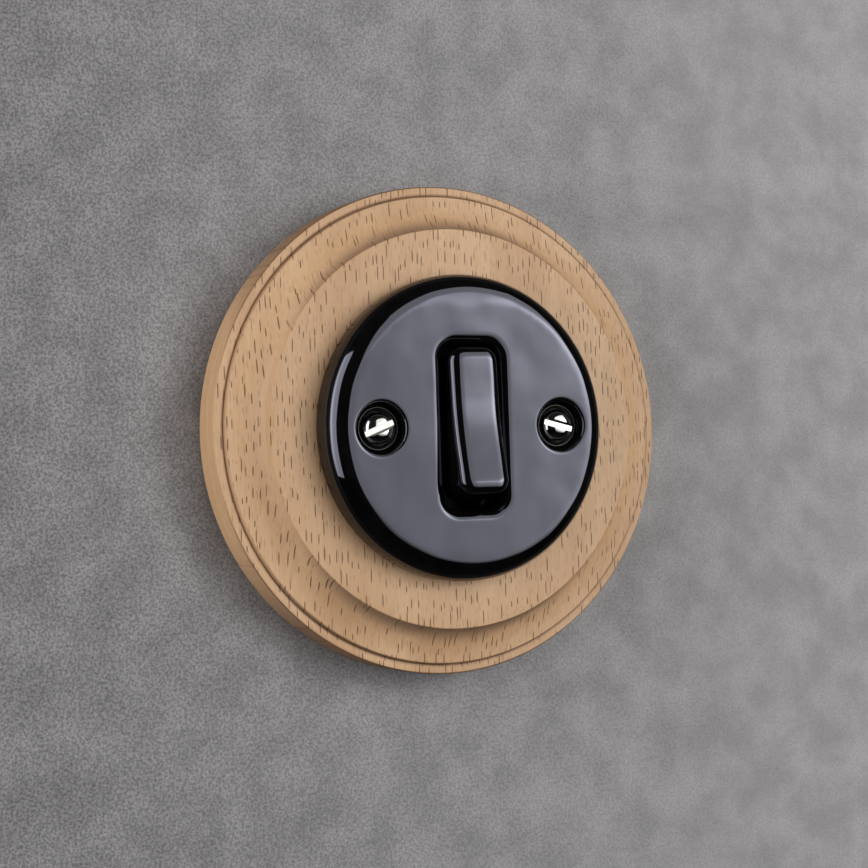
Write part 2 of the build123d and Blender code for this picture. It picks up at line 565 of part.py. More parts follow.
def pieces():
    """Every piece of the switch by name, still lying on its back."""
    made = {
        "wood_backplate": wood_backplate(),
        "ceramic_cover": ceramic_cover(),
        "rocker_key": rocked(rocker_key()),
        "rocker_cradle": rocked(rocker_cradle()),
        "pivot_pin": pivot_pin(),
        "plunger": rocked(plunger()),
        "plunger_spring": rocked(plunger_spring()),
        "contact_lever": contact_lever(),
        "common_strip": common_strip(),
        "support_plate": support_plate(),
        "contact_base": contact_base(),
        "bearing_bridge": bearing_bridge(),
        "bridge_screws": bridge_screws(),
    }
    for side in SIDES:
        made[f"cover_screw_{side}"] = cover_screw(side)
        made[f"cover_washer_{side}"] = cover_washer(side)
    for end in ENDS:
        made[f"lever_tip_{end}"] = lever_tip(end)
        made[f"fixed_tip_{end}"] = fixed_tip(end)
        made[f"fixed_strip_{end}"] = fixed_strip(end)
        for side in SIDES:
            made[f"terminal_{end}_{side}"] = terminal(end, side)
            made[f"terminal_screw_{end}_{side}"] = terminal_screw(end, side)
    return made


os.makedirs("parts", exist_ok=True)
for name, piece in pieces().items():
    export_step(Plane.XZ.location * piece, f"parts/{name}.step")
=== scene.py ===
# %% [markdown]
# # A round ceramic light switch
# The switch hangs on a wall: a turned beech backplate carries a black glazed cover, and a glazed
# rocker tilts in the cover's slot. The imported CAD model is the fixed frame. It already holds every
# piece in its right place, so this script only makes finer surfaces for the pieces that are seen
# closely, gives every piece a finish, and sets up the wall, the light and the camera.

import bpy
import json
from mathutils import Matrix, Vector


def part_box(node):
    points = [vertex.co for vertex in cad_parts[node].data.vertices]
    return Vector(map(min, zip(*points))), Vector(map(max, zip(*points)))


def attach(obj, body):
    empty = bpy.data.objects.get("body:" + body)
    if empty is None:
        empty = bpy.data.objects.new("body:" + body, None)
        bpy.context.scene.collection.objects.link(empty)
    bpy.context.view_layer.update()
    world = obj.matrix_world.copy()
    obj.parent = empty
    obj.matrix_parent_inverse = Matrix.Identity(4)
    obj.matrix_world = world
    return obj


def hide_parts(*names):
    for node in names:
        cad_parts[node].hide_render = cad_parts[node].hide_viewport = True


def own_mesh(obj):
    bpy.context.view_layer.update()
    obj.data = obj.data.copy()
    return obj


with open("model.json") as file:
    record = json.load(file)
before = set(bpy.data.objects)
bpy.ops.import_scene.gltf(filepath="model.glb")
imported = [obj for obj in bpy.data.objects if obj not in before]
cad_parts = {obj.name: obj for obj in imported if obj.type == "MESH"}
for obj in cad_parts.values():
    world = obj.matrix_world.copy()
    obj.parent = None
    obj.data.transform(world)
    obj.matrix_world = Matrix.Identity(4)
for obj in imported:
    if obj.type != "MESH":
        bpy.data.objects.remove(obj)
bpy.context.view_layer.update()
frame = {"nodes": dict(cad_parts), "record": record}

# %% Units and directions
import json
from math import cos, pi, radians, sin, sqrt, tan

import bmesh
import bpy
from mathutils import Matrix, Vector
from mathutils.geometry import delaunay_2d_cdt

MM = 0.001


def front(right, up, out):
    """A point in metres from millimetres to the right, up the wall and out of the wall."""
    return Vector((right * MM, -out * MM, up * MM))


def new_object(name, data):
    """A new object in the scene."""
    piece = bpy.data.objects.new(name, data)
    bpy.context.scene.collection.objects.link(piece)
    return piece


def aimed(azimuth, elevation):
    """A turn whose Z axis looks back along a direction in degrees, with its X axis level."""
    return Matrix.Rotation(radians(azimuth), 4, "Z") @ Matrix.Rotation(radians(90 - elevation), 4, "X")


# %% [markdown]
# ## Camera
# The photograph looks at the switch from the left, almost level, through a long lens. The
# camera is placed by its direction and distance from a point on the wall. A small roll turns the
# picture the way the photograph is turned. A look-at constraint could aim it too, but a plain
# matrix leaves nothing live in the file.

# %% Camera
CAMERA_AZIMUTH, CAMERA_ELEVATION, CAMERA_ROLL = -25.74, -1.67, -1.92
CAMERA_TARGET, CAMERA_DISTANCE = front(1.75, -0.66, 0.0), 418.1 * MM
LENS_MM, SENSOR_MM, NEAREST = 78.70, 36.0, 0.01

camera = new_object("camera", bpy.data.cameras.new("camera"))
camera.data.lens = LENS_MM
camera.data.sensor_width = SENSOR_MM
camera.data.clip_start = NEAREST
camera.matrix_world = (Matrix.Translation(CAMERA_TARGET) @ aimed(CAMERA_AZIMUTH, CAMERA_ELEVATION)
                       @ Matrix.Rotation(radians(CAMERA_ROLL), 4, "Z")
                       @ Matrix.Translation((0.0, 0.0, CAMERA_DISTANCE)))
bpy.context.scene.camera = camera
print("camera stands at", [round(c, 3) for c in camera.matrix_world.translation])

# %% [markdown]
# ## Node helpers
# Every finish below is a small node tree. One helper adds a node, sets its properties and fills
# its inputs, either with a value or with a link from another node's output. A node that is fed by
# others finds its tree through them, and short helpers stand for the nodes that come back often.
# That keeps each material readable as a list of its steps.


# %% Node helpers
def fill(node, inputs):
    """Fill a node's inputs, by name or number, with values or with links from output sockets."""
    for key, value in inputs.items():
        if isinstance(value, bpy.types.NodeSocket):
            node.id_data.links.new(value, node.inputs[key])
        else:
            node.inputs[key].default_value = value


def add(tree, kind, inputs=None, **properties):
    """Add a node, set its properties and fill its inputs."""
    node = tree.nodes.new(kind)
    for name, value in properties.items():
        setattr(node, name, value)
    fill(node, inputs or {})
    return node


def link(kind, inputs, **properties):
    """Add a node to the tree that its linked inputs come from."""
    tree = next(value.id_data for value in inputs.values() if isinstance(value, bpy.types.NodeSocket))
    return add(tree, kind, inputs, **properties)


def math(operation, first, second=0.0):
    """A Math node's output."""
    return link("ShaderNodeMath", {0: first, 1: second}, operation=operation).outputs[0]


def times(first, second):
    """The product of two values."""
    return math("MULTIPLY", first, second)


def vector_math(operation, first, second):
    """A Vector Math node's vector."""
    return link("ShaderNodeVectorMath", {0: first, 1: second}, operation=operation).outputs[0]


def parts(vector):
    """A vector's X, Y and Z."""
    return link("ShaderNodeSeparateXYZ", {0: vector}).outputs


def joined(x=0.0, y=0.0, z=0.0):
    """A vector from its parts."""
    return link("ShaderNodeCombineXYZ", {0: x, 1: y, 2: z}).outputs[0]


def blend(factor, first, second):
    """A colour Mix node's output; sockets 6 and 7 are its colours."""
    return link("ShaderNodeMix", {0: factor, 6: first, 7: second}, data_type="RGBA").outputs[2]


def ramp(value, low, high, to_low=0.0, to_high=1.0):
    """A value carried smoothly from one range to another, and held at its ends."""
    return link("ShaderNodeMapRange", {
        "Value": value, "From Min": low, "From Max": high, "To Min": to_low, "To Max": to_high},
        interpolation_type="SMOOTHSTEP").outputs[0]


def noise(place, scale, detail, roughness=0.5):
    """A Noise Texture's value and colour."""
    return link("ShaderNodeTexNoise", {
        "Vector": place, "Scale": scale, "Detail": detail, "Roughness": roughness}).outputs


def stretched(vector, scale):
    """Coordinates scaled along each axis, in patterns per metre."""
    return link("ShaderNodeMapping", {"Vector": vector, "Scale": scale}).outputs[0]


def normal_parts(place):
    """The surface normal's X, Y and Z, from the node that gives the place."""
    return parts(place.node.outputs["Normal"])


def squareness(place, axis):
    """How squarely the surface faces along an axis, either way, from 0 to 1."""
    return math("ABSOLUTE", normal_parts(place)[axis])


def new_material(name):
    """An empty material; returns it, its Principled shader and its coordinates."""
    material = bpy.data.materials.new(name)
    material.use_nodes = True
    place = add(material.node_tree, "ShaderNodeTexCoord").outputs["Object"]
    return material, material.node_tree.nodes["Principled BSDF"], place


def bump(height, strength, distance):
    """A normal from a height."""
    return link("ShaderNodeBump", {
        "Height": height, "Strength": strength, "Distance": distance}).outputs[0]


def new_tree(name, kind, inputs, outputs):
    """A node tree with named sockets; returns it, what it is given and its output node."""
    tree = bpy.data.node_groups.new(name, kind)
    for in_out, sockets in (("INPUT", inputs), ("OUTPUT", outputs)):
        for label, socket in sockets.items():
            tree.interface.new_socket(label, in_out=in_out, socket_type="NodeSocket" + socket)
    return tree, tree.nodes.new("NodeGroupInput").outputs, tree.nodes.new("NodeGroupOutput")


# %% [markdown]
# ## Shared effects
# Two effects come back in many finishes, so each is a node group with its own inputs. The first
# is a soft mottle, as in moulded plastic, glaze and tarnish, which mixes two colours and also
# puts out the value and a fine height. The second is a set of fine rubbed lines, as on drawn or
# turned metal. Groups hold only colours and values here; the shaders stay in the materials.


# %% Shared effects
def make_mottle():
    """Two colours mixed by a soft cloudy value, with a fine height from the same place."""
    group, given, result = new_tree("Mottle", "ShaderNodeTree", {
        "Place": "Vector", "Patches per metre": "Float", "Grains per metre": "Float",
        "First": "Color", "Second": "Color"}, {"Colour": "Color", "Value": "Float", "Height": "Float"})
    patches = noise(given["Place"], given["Patches per metre"], 3.0, 0.55)[0]
    grains = noise(given["Place"], given["Grains per metre"], 2.0, 0.6)[0]
    value = ramp(patches, 0.3, 0.7)
    colour = blend(value, given["First"], given["Second"])
    fill(result, {"Colour": colour, "Value": value, "Height": grains})
    return group


def make_rubbed_lines():
    """Fine lines that run along one axis, as a value around one half."""
    group, given, result = new_tree("Rubbed lines", "ShaderNodeTree", {
        "Place": "Vector", "Lines per metre": "Vector"}, {"Value": "Float"})
    place = vector_math("MULTIPLY", given["Place"], given["Lines per metre"])
    fill(result, {"Value": noise(place, 1.0, 3.0, 0.7)[0]})
    return group


MOTTLE = make_mottle()
RUBBED_LINES = make_rubbed_lines()


def mottle(place, patches, grains, first, second):
    """The mottle group's outputs in a material."""
    return link("ShaderNodeGroup", {
        "Place": place, "Patches per metre": patches, "Grains per metre": grains,
        "First": (*first, 1.0), "Second": (*second, 1.0)}, node_tree=MOTTLE).outputs


def rubbed_lines(place, per_metre):
    """The rubbed lines group's value in a material."""
    return link("ShaderNodeGroup", {"Place": place, "Lines per metre": per_metre},
                node_tree=RUBBED_LINES).outputs["Value"]


print("shared effects:", MOTTLE.name, "and", RUBBED_LINES.name)

# %% [markdown]
# ## Beech
# The backplate is turned from a flat-sawn board with its grain upright. Beech is pale, with a
# soft figure, and its rays show as short dark dashes on the board's face. A photograph of wood
# would slide over the turned profile, so the figure is a solid pattern in the piece's own
# coordinates. A ray is a thin ribbon: narrow across, a few millimetres along the grain and deep
# into the board, so the dashes are a flat pattern that runs right through, and the lathe cuts it
# as it does in the real one. Where the cut turns across the grain the wood drinks more oil and is
# darker, which the surface's own normal tells. Oil also gathers in the cut line and on the rim's
# edge, and both lie in shade, so both are darkened by their place on the turned section: partly
# oil, partly painted shade.

# %% Beech
DEEP_RING, PALE_RING = (0.490, 0.298, 0.158, 1), (0.570, 0.368, 0.212, 1)
FIBRE, END_GRAIN = (0.340, 0.190, 0.092, 1), (0.236, 0.142, 0.092, 1)
# the first is the dark of oil and of painted shade in the cut line and on the rim
OIL_AND_SHADE, RAY = (0.115, 0.055, 0.028, 1), (0.125, 0.054, 0.021, 1)
# spacing across and along, share kept, half width and half length
STRONG_RAYS = ((1.30, 4.8), 0.85, 0.130, 1.30)
FAINT_RAYS = ((0.80, 3.1), 0.60, 0.09, 0.80)
# where oil and painted shade darken the cut line and the rim's edge
SHADED_OIL_LINE, LINE_REACH, LINE_CORE = 50.55, 0.60, 0.10
SHADED_OIL_RIM, RIM_REACH, RIM_CORE, RIM_DEPTH, RIM_FALL = 52.5, 0.40, 0.08, 8.6, 0.3


def ray_flecks(across_along, spacing, kept, half_width, half_length):
    """Dark rods, one in the middle of each cell that is kept; all sizes in millimetres."""
    place = stretched(across_along, (1 / (spacing[0] * MM), 1 / (spacing[1] * MM), 0.0))
    cells = link("ShaderNodeTexVoronoi", {"Vector": place, "Scale": 1.0, "Randomness": 0.85},
                 voronoi_dimensions="2D").outputs
    chance = link("ShaderNodeSeparateColor", {0: cells["Color"]}).outputs
    from_middle = parts(vector_math("SUBTRACT", place, cells["Position"]))
    longer = ramp(chance[1], 0.0, 1.0, 0.55, 1.35)
    across = times(from_middle["X"], spacing[0] / half_width)
    along = times(from_middle["Y"], spacing[1] / half_length)
    along = math("POWER", math("ABSOLUTE", math("DIVIDE", along, longer)), 4.0)
    rod = math("ADD", math("ABSOLUTE", across), along)
    keep = ramp(chance[0], 1 - kept, 1 - kept * 0.6)
    return times(ramp(rod, 1.15, 0.70), keep)


def oil_and_painted_shade(place):
    """How dark oil and painted shade make the cut line and, across the grain, the rim's edge."""
    split = parts(place)
    flat = joined(split["X"], split["Z"])
    radius = link("ShaderNodeVectorMath", {0: flat}, operation="LENGTH").outputs["Value"]
    line = math("ABSOLUTE", math("SUBTRACT", radius, SHADED_OIL_LINE * MM))
    line = times(ramp(line, LINE_REACH * MM, LINE_CORE * MM, 0.0, 0.38),
                 ramp(normal_parts(place)["Y"], 0.2, -0.2))
    rim = times(ramp(radius, (SHADED_OIL_RIM - RIM_REACH) * MM, (SHADED_OIL_RIM - RIM_CORE) * MM, 0.0, 0.75),
                ramp(split["Y"], -RIM_DEPTH * MM, -(RIM_DEPTH + RIM_FALL) * MM))
    rim = times(rim, ramp(squareness(place, "Z"), 0.10, 0.45))
    return math("MAXIMUM", line, rim)


def make_beech():
    material, shader, place = new_material("oiled beech")
    end_grain = ramp(squareness(place, "Z"), 0.38, 0.85)
    edge_cut = ramp(squareness(place, "X"), 0.95, 0.60)
    sway = noise(stretched(place, (55, 55, 16)), 1.0, 2.0)["Color"]
    shift = vector_math("SUBTRACT", sway, (0.5, 0.5, 0.5))
    shift = vector_math("MULTIPLY", shift, (1.5 * MM, 3 * MM, 0))
    grain = vector_math("ADD", place, shift)
    split = parts(grain)
    across_along = joined(split["X"], split["Z"])

    rings = noise(stretched(grain, (75, 240, 6)), 1.0, 3.0)[0]
    fibres = noise(stretched(grain, (1900, 1900, 130)), 1.0, 2.0, 0.6)[0]
    colour = blend(ramp(rings, 0.30, 0.70), DEEP_RING, PALE_RING)
    colour = blend(ramp(fibres, 0.35, 0.65, 0.17, 0.0), colour, FIBRE)
    colour = blend(times(end_grain, 0.77), colour, END_GRAIN)
    # oil and painted shade in the cut line and along the rim
    colour = blend(oil_and_painted_shade(place), colour, OIL_AND_SHADE)
    strong = ray_flecks(across_along, *STRONG_RAYS)
    faint = ray_flecks(across_along, *FAINT_RAYS)
    flecks = times(math("MAXIMUM", strong, times(faint, 0.40)), edge_cut)
    colour = blend(times(flecks, 0.92), colour, RAY)
    height = math("SUBTRACT", times(fibres, 0.30), flecks)
    fill(shader, {
        "Base Color": colour, "Roughness": ramp(fibres, 0.3, 0.7, 0.56, 0.44), "IOR": 1.42,
        "Normal": bump(height, 0.30, 0.06 * MM)})
    return material


BEECH = make_beech()
print("made", BEECH.name)

# %% [markdown]
# ## Black glaze
# The cover and the rocker are porcelain under a thick black glaze. Such a glaze is nearly a
# mirror, so what it shows is the room: the soft window of the key light on the flat face and
# black on every rounding. The colour hardly matters, only a cool tint of the reflection itself,
# but the surface is never quite flat. A slow, very shallow wave in the normal makes the
# reflection cloudy, and a fine one is its orange peel.

# %% Black glaze
WAVES_PER_METRE, WAVE_DEPTH, PEEL_SHARE = 85.0, 0.36 * MM, 0.0025


def make_glaze():
    material, shader, place = new_material("black glaze")
    cloud = mottle(place, 160.0, 1400.0, (0.0012, 0.0010, 0.0010), (0.0028, 0.0024, 0.0024))
    wave = noise(place, WAVES_PER_METRE, 1.0, 0.4)[0]
    height = math("ADD", wave, times(cloud["Height"], PEEL_SHARE))
    fill(shader, {
        "Base Color": cloud["Colour"], "IOR": 1.62, "Specular Tint": (0.78, 0.81, 1.0, 1.0),
        "Roughness": ramp(cloud["Value"], 0.0, 1.0, 0.035, 0.065),
        "Normal": bump(height, 1.0, WAVE_DEPTH)})
    return material


GLAZE = make_glaze()
print("made", GLAZE.name)

# %% [markdown]
# ## Metals and mouldings
# The other finishes share two recipes. A metal has two near tints in patches, as tarnish or
# plating gives, and rubbed lines that change how sharply it shines. The bright cover screws also
# get painted shade where their surface is steep, in the slot and under the rim. A moulding has a
# faint mottle and the fine grain of the mould. Each finish below is one row of a table.

# %% Metals and mouldings
METALS = {
    # slot: first tint, second tint, patches per metre, lines per metre, sharp and dull roughness
    "nickel_plate": ((0.46, 0.455, 0.445), (0.39, 0.385, 0.375), 500, (2500, 2500, 600), 0.04, 0.13),
    "plated_steel": ((0.62, 0.64, 0.67), (0.57, 0.58, 0.58), 220, (900, 900, 900), 0.30, 0.42),
    "spring_steel": ((0.50, 0.50, 0.52), (0.40, 0.40, 0.41), 600, (5000, 800, 5000), 0.20, 0.38),
    "contact_brass": ((0.80, 0.60, 0.30), (0.66, 0.44, 0.18), 220, (3000, 3000, 250), 0.20, 0.40),
    "terminal_brass": ((0.78, 0.57, 0.26), (0.62, 0.41, 0.17), 260, (250, 4000, 250), 0.22, 0.42),
    "contact_silver": ((0.86, 0.85, 0.83), (0.70, 0.68, 0.63), 900, (3000, 3000, 3000), 0.16, 0.34),
}
MOULDINGS = {
    # slot: first colour, second colour, patches and grains per metre, smooth and dull roughness, grain
    "black_moulding": ((0.018, 0.018, 0.020), (0.030, 0.029, 0.030), 300, 5000, 0.38, 0.50, 0.25),
    "base_moulding": ((0.60, 0.58, 0.53), (0.66, 0.64, 0.60), 240, 6000, 0.42, 0.55, 0.22),
    "washer_fibre": ((0.004, 0.004, 0.004), (0.008, 0.007, 0.007), 1500, 9000, 0.10, 0.18, 0.03),
    "plunger_nylon": ((0.80, 0.78, 0.70), (0.86, 0.84, 0.78), 500, 3000, 0.30, 0.40, 0.10),
}
# metals with painted shade on their steep sides, and the shade's colour
PAINTED_SHADE_SLOTS, PAINTED_SHADE = ("nickel_plate",), (0.012, 0.011, 0.010, 1.0)
METAL_GRAINS = 4000.0
GRAIN_DEPTH = 0.03 * MM
LINE_DEPTH = 0.006 * MM


def make_metal(slot, first, second, patches, lines, sharp, dull):
    material, shader, place = new_material(slot.replace("_", " "))
    tint = mottle(place, patches, METAL_GRAINS, first, second)
    rubbed = rubbed_lines(place, lines)
    colour = tint["Colour"]
    # painted shade on steep sides: the slot's walls and under the head's rim
    if slot in PAINTED_SHADE_SLOTS:
        colour = blend(ramp(squareness(place, "Y"), 0.55, 0.25), colour, PAINTED_SHADE)
    wear = times(math("ADD", rubbed, tint["Value"]), 0.5)
    fill(shader, {
        "Base Color": colour, "Roughness": ramp(wear, 0.25, 0.75, sharp, dull),
        "Metallic": 1.0, "Normal": bump(rubbed, 0.3, LINE_DEPTH)})
    return material


def make_moulding(slot, first, second, patches, grains, smooth, dull, grain):
    material, shader, place = new_material(slot.replace("_", " "))
    body = mottle(place, patches, grains, first, second)
    fill(shader, {
        "Base Color": body["Colour"], "Roughness": ramp(body["Height"], 0.3, 0.7, smooth, dull),
        "Normal": bump(body["Height"], grain, GRAIN_DEPTH)})
    return material


FINISHES = {"pale_hardwood": BEECH, "black_glaze": GLAZE}
FINISHES.update({slot: make_metal(slot, *row) for slot, row in METALS.items()})
FINISHES.update({slot: make_moulding(slot, *row) for slot, row in MOULDINGS.items()})
print("finishes:", sorted(FINISHES))

# %% [markdown]
# ## Finishes on the CAD pieces
# The hidden mechanism keeps its CAD surfaces: they are prisms, rods and bent strips, and the
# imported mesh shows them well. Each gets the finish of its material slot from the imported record.

# %% Finishes on the CAD pieces
SLOT_OF = {row["node"]: row["material_slot"] for row in frame["record"]["subparts"]}
for node, piece in frame["nodes"].items():
    piece.data.materials.clear()
    piece.data.materials.append(FINISHES[SLOT_OF[node]])
print("finished", len(SLOT_OF), "CAD pieces in", len(set(SLOT_OF.values())), "finishes")

# %% [markdown]
# ## A lathe made of nodes
# The backplate and every screw are turned forms: a section line swung once round an axis. A
# Screw modifier or Spin could do it, but a Geometry Nodes tree makes the rule itself visible
# and serves all of them. The input mesh is the section, one vertex after another, drawn as
# radius and height. The tree makes a grid with one column for each step round the axis, looks up
# each row's place on the section, turns it, and welds the seam.

# %% The lathe tree
WELD = 0.002 * MM


def make_lathe():
    tree, given, result = new_tree("Lathe", "GeometryNodeTree", {"Section": "Geometry", "Steps": "Int"},
                                   {"Geometry": "Geometry"})
    rows = link("GeometryNodeAttributeDomainSize", {"Geometry": given["Section"]}).outputs["Point Count"]
    columns = math("ADD", given["Steps"], 1)
    grid = link("GeometryNodeMeshGrid", {"Vertices X": columns, "Vertices Y": rows})
    index = add(tree, "GeometryNodeInputIndex").outputs[0]
    row = math("MODULO", index, rows)
    column = math("FLOOR", math("DIVIDE", index, rows))
    place = add(tree, "GeometryNodeInputPosition").outputs[0]
    point = parts(link("GeometryNodeSampleIndex", {
        "Geometry": given["Section"], "Value": place, "Index": row},
        data_type="FLOAT_VECTOR", domain="POINT").outputs["Value"])
    turn = times(math("DIVIDE", column, given["Steps"]), 2 * pi)
    across = times(point["X"], math("COSINE", turn))
    along = times(point["X"], math("SINE", turn))
    turned = joined(across, times(point["Z"], -1.0), along)
    placed = link("GeometryNodeSetPosition", {"Geometry": grid.outputs["Mesh"], "Position": turned})
    welded = link("GeometryNodeMergeByDistance", {"Geometry": placed.outputs[0], "Distance": WELD})
    fill(result, {0: welded.outputs[0]})
    return tree


LATHE = make_lathe()
print("made tree", LATHE.name)


def section_mesh(name, section):
    """An object whose vertices are a section, given as radius and height in millimetres."""
    mesh = bpy.data.meshes.new(name)
    points = [(radius * MM, 0.0, height * MM) for radius, height in section]
    mesh.from_pydata(points, [(k, k + 1) for k in range(len(points) - 1)], [])
    return new_object(name, mesh)


def use_tree(piece, tree, values, sharp_degrees):
    """Run a tree on a piece with named inputs and keep the result as a plain mesh."""
    modifier = piece.modifiers.new(tree.name, "NODES")
    modifier.node_group = tree
    sockets = {item.name: item.identifier for item in tree.interface.items_tree
               if item.item_type == "SOCKET" and item.in_out == "INPUT"}
    for label, value in values.items():
        modifier[sockets[label]] = value
    shape = bpy.data.meshes.new_from_object(piece.evaluated_get(bpy.context.evaluated_depsgraph_get()))
    shape.name = piece.name
    piece.modifiers.clear()
    piece.data = shape
    finish_mesh(shape, sharp_degrees)


def finish_mesh(shape, sharp_degrees):
    """Outward faces, smooth shading, and sharp edges where the surface folds."""
    bm = bmesh.new()
    bm.from_mesh(shape)
    bmesh.ops.remove_doubles(bm, verts=bm.verts, dist=WELD)
    bmesh.ops.dissolve_degenerate(bm, dist=WELD, edges=bm.edges)
    bmesh.ops.recalc_face_normals(bm, faces=bm.faces)
    open_edges = sum(1 for edge in bm.edges if not edge.is_manifold)
    bm.to_mesh(shape)
    bm.free()
    shape.shade_smooth()
    shape.set_sharp_from_angle(angle=radians(sharp_degrees))
    print(shape.name, len(shape.polygons), "faces,", open_edges, "open edges")


def place_piece(piece, body, slot, *nodes):
    """Let a finished piece ride on its body, stand for its CAD nodes and take its slot's finish."""
    piece.data.materials.clear()
    piece.data.materials.append(FINISHES[slot])
    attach(piece, body)
    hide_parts(*nodes)


# %% [markdown]
# ## Backplate
# The section runs from the opening over the flat plateau, down a deep cove and a small step into
# a cut line, the quirk, over a narrow flat lip, and back along the wall. A turner eases every
# edge with a touch of paper, so the corners get tiny radii, which the light then finds.

# %% Backplate section
WOOD_OUTER, WOOD_THICK, WOOD_SIDE = 52.5, 15.3, 7.0
LIP, QUIRK, PLATEAU = 2.3, 1.0, 42.6
OPENING, RECESS, RECESS_TOP, BACK_CHAMFER = 27.0, 37.0, 3.2, 0.6
EASED, FOOT_EDGE, LIP_EDGE, QUIRK_SHOULDER = 0.30, 0.35, 0.50, 0.80
LATHE_STEPS, COVE_STEPS, QUIRK_START, TURNED_SHARP = 240, 26, 138, 32.0


def arc(centre, radius, start, end, count, rise=None):
    """Points of an arc, angles in degrees from the radius direction; rise is its other radius."""
    turns = [radians(start + (end - start) * k / count) for k in range(count + 1)]
    return [(centre[0] + radius * cos(t), centre[1] + (rise or radius) * sin(t)) for t in turns]


quirk = WOOD_OUTER - LIP
lip_top = WOOD_SIDE + LIP
cove_foot = lip_top + QUIRK
wood_section = [(OPENING, RECESS_TOP), (OPENING, WOOD_THICK)]
wood_section += [(OPENING + (PLATEAU - EASED - OPENING) * k / 6, WOOD_THICK) for k in range(1, 6)]
wood_section += arc((PLATEAU - EASED, WOOD_THICK - EASED), EASED, 90, 12, 4)
cove = arc((quirk, WOOD_THICK), quirk - PLATEAU, 180, 270, COVE_STEPS, WOOD_THICK - cove_foot)
# cove points that would crowd its eased edges are left out
cove_top, cove_end = WOOD_THICK - 1.6 * EASED, quirk - 1.5 * FOOT_EDGE
wood_section += [(radius, height) for radius, height in cove if height < cove_top and radius < cove_end]
wood_section += arc((quirk - FOOT_EDGE, cove_foot - FOOT_EDGE), FOOT_EDGE, 90, 0, 6)
wood_section += arc((quirk + QUIRK_SHOULDER, lip_top - QUIRK_SHOULDER), QUIRK_SHOULDER, QUIRK_START, 90, 6)
wood_section += arc((WOOD_OUTER - LIP_EDGE, lip_top - LIP_EDGE), LIP_EDGE, 90, 0, 8)
wood_section += [(WOOD_OUTER, WOOD_SIDE / 2), (WOOD_OUTER, BACK_CHAMFER)]
wood_section += [(WOOD_OUTER - BACK_CHAMFER, 0.0), (RECESS, 0.0), (RECESS, RECESS_TOP), (OPENING, RECESS_TOP)]
wood = section_mesh("wood_turned", wood_section)
use_tree(wood, LATHE, {"Steps": LATHE_STEPS}, TURNED_SHARP)
place_piece(wood, "switch", "pale_hardwood", "wood_backplate")

# %% [markdown]
# ## Building by rings
# The cover and the rocker aren't turned: they have a slot, sunk holes and rounded corners. Each
# is a stack of closed rings joined by quads, which follows every rounding exactly and leaves no
# boolean scars in the reflection. A flat field between several rings is triangulated with points
# of its own, so that it can be shaped a little afterwards.

# %% Ring helpers
TINY = 1e-6
CLEAR_SHARE = 0.55  # of a field's spacing, kept free round its outlines
FINE = 40  # samples in each step of a soft edge
GLAZED_SHARP = 40.0


def circle(radius, out, right, count):
    """A round ring at a height out of the wall."""
    turns = [2 * pi * k / count for k in range(count)]
    return [(right + radius * cos(t), radius * sin(t), out) for t in turns]


def rounded_box(width, length, corner, out, along=28, across=8, bend=10):
    """A ring round a rectangle with rounded corners; its points keep their order at any size."""
    corner = max(min(corner, width / 2, length / 2), 0.0)
    x, y = width / 2 - corner, length / 2 - corner
    bends = []
    for quarter, (cx, cy) in enumerate(((x, y), (-x, y), (-x, -y), (x, -y))):
        turns = [radians(90 * (quarter + k / bend)) for k in range(bend + 1)]
        bends.append([(cx + corner * cos(t), cy + corner * sin(t)) for t in turns])
    ring = []
    for quarter, points in enumerate(bends):
        (ax, ay), (bx, by) = points[-1], bends[(quarter + 1) % 4][0]
        steps = along if quarter % 2 else across
        ring += points + [(ax + (bx - ax) * k / steps, ay + (by - ay) * k / steps) for k in range(1, steps)]
    return [(px, py, out) for px, py in ring]


def skin(bm, rings):
    """Join rings of equal length by quads; returns the vertices of the first and the last ring."""
    rows = [[bm.verts.new(front(*point)) for point in ring] for ring in rings]
    for low, high in zip(rows, rows[1:]):
        for k in range(len(low)):
            bm.faces.new((low[k - 1], low[k], high[k], high[k - 1]))
    return rows[0], rows[-1]


def encloses(ring, spot):
    """Whether a ring that bulges outwards everywhere holds a spot."""
    pairs = zip(ring, ring[1:] + ring[:1])
    return all((b - a).cross(spot - a) > 0 for a, b in pairs if (b - a).length > TINY)


def field(bm, outlines, out, spacing):
    """Fill the flat field inside the first outline and outside the others, with points of its own."""
    flat = [[Vector((v.co.x / MM, v.co.z / MM)) for v in outline] for outline in outlines]
    points, edges, owners = [], [], []
    for ring, outline in zip(flat, outlines):
        start = len(points)
        points += ring
        owners += list(outline)
        edges += [(start + k, start + (k + 1) % len(ring)) for k in range(len(ring))]
    count = int(max(p.length for p in flat[0]) / spacing) + 1
    for i in range(-count, count + 1):
        for j in range(-count, count + 1):
            spot = Vector(((i + 0.5 * (j % 2)) * spacing, j * spacing * sqrt(3) / 2))
            clear = all((p - spot).length > CLEAR_SHARE * spacing for ring in flat for p in ring)
            if encloses(flat[0], spot) and clear:
                points.append(spot)
                owners.append(None)
    spots, _, triangles, sources = delaunay_2d_cdt(points, edges, [], 1, TINY)[:4]
    verts = {}
    for triangle in triangles:
        middle = sum((spots[k] for k in triangle), Vector((0, 0))) / 3
        if any(encloses(hole, middle) for hole in flat[1:]):
            continue
        for k in triangle:
            if k not in verts:
                kept = [owners[s] for s in sources[k] if owners[s] is not None]
                verts[k] = kept[0] if kept else bm.verts.new(front(spots[k].x, spots[k].y, out))
        bm.faces.new([verts[k] for k in triangle])


def soft_edge(depth, ease, steps):
    """How far an edge is still open and how deep it lies, from the face down to the wall.

    An ease of 1 is a quarter round. With more, it starts to turn slowly, as thick glaze does.
    """
    fine = FINE * steps
    turns = [pi / 2 * ((k + 0.5) / fine) ** ease for k in range(fine)]
    scale = depth / sum(map(sin, turns))
    edge = [(scale * sum(map(cos, turns)), 0.0)]
    for step in range(steps):
        part = turns[FINE * step:FINE * (step + 1)]
        open_by, fallen = edge[-1]
        edge.append((open_by - scale * sum(map(cos, part)), fallen + scale * sum(map(sin, part))))
    return edge


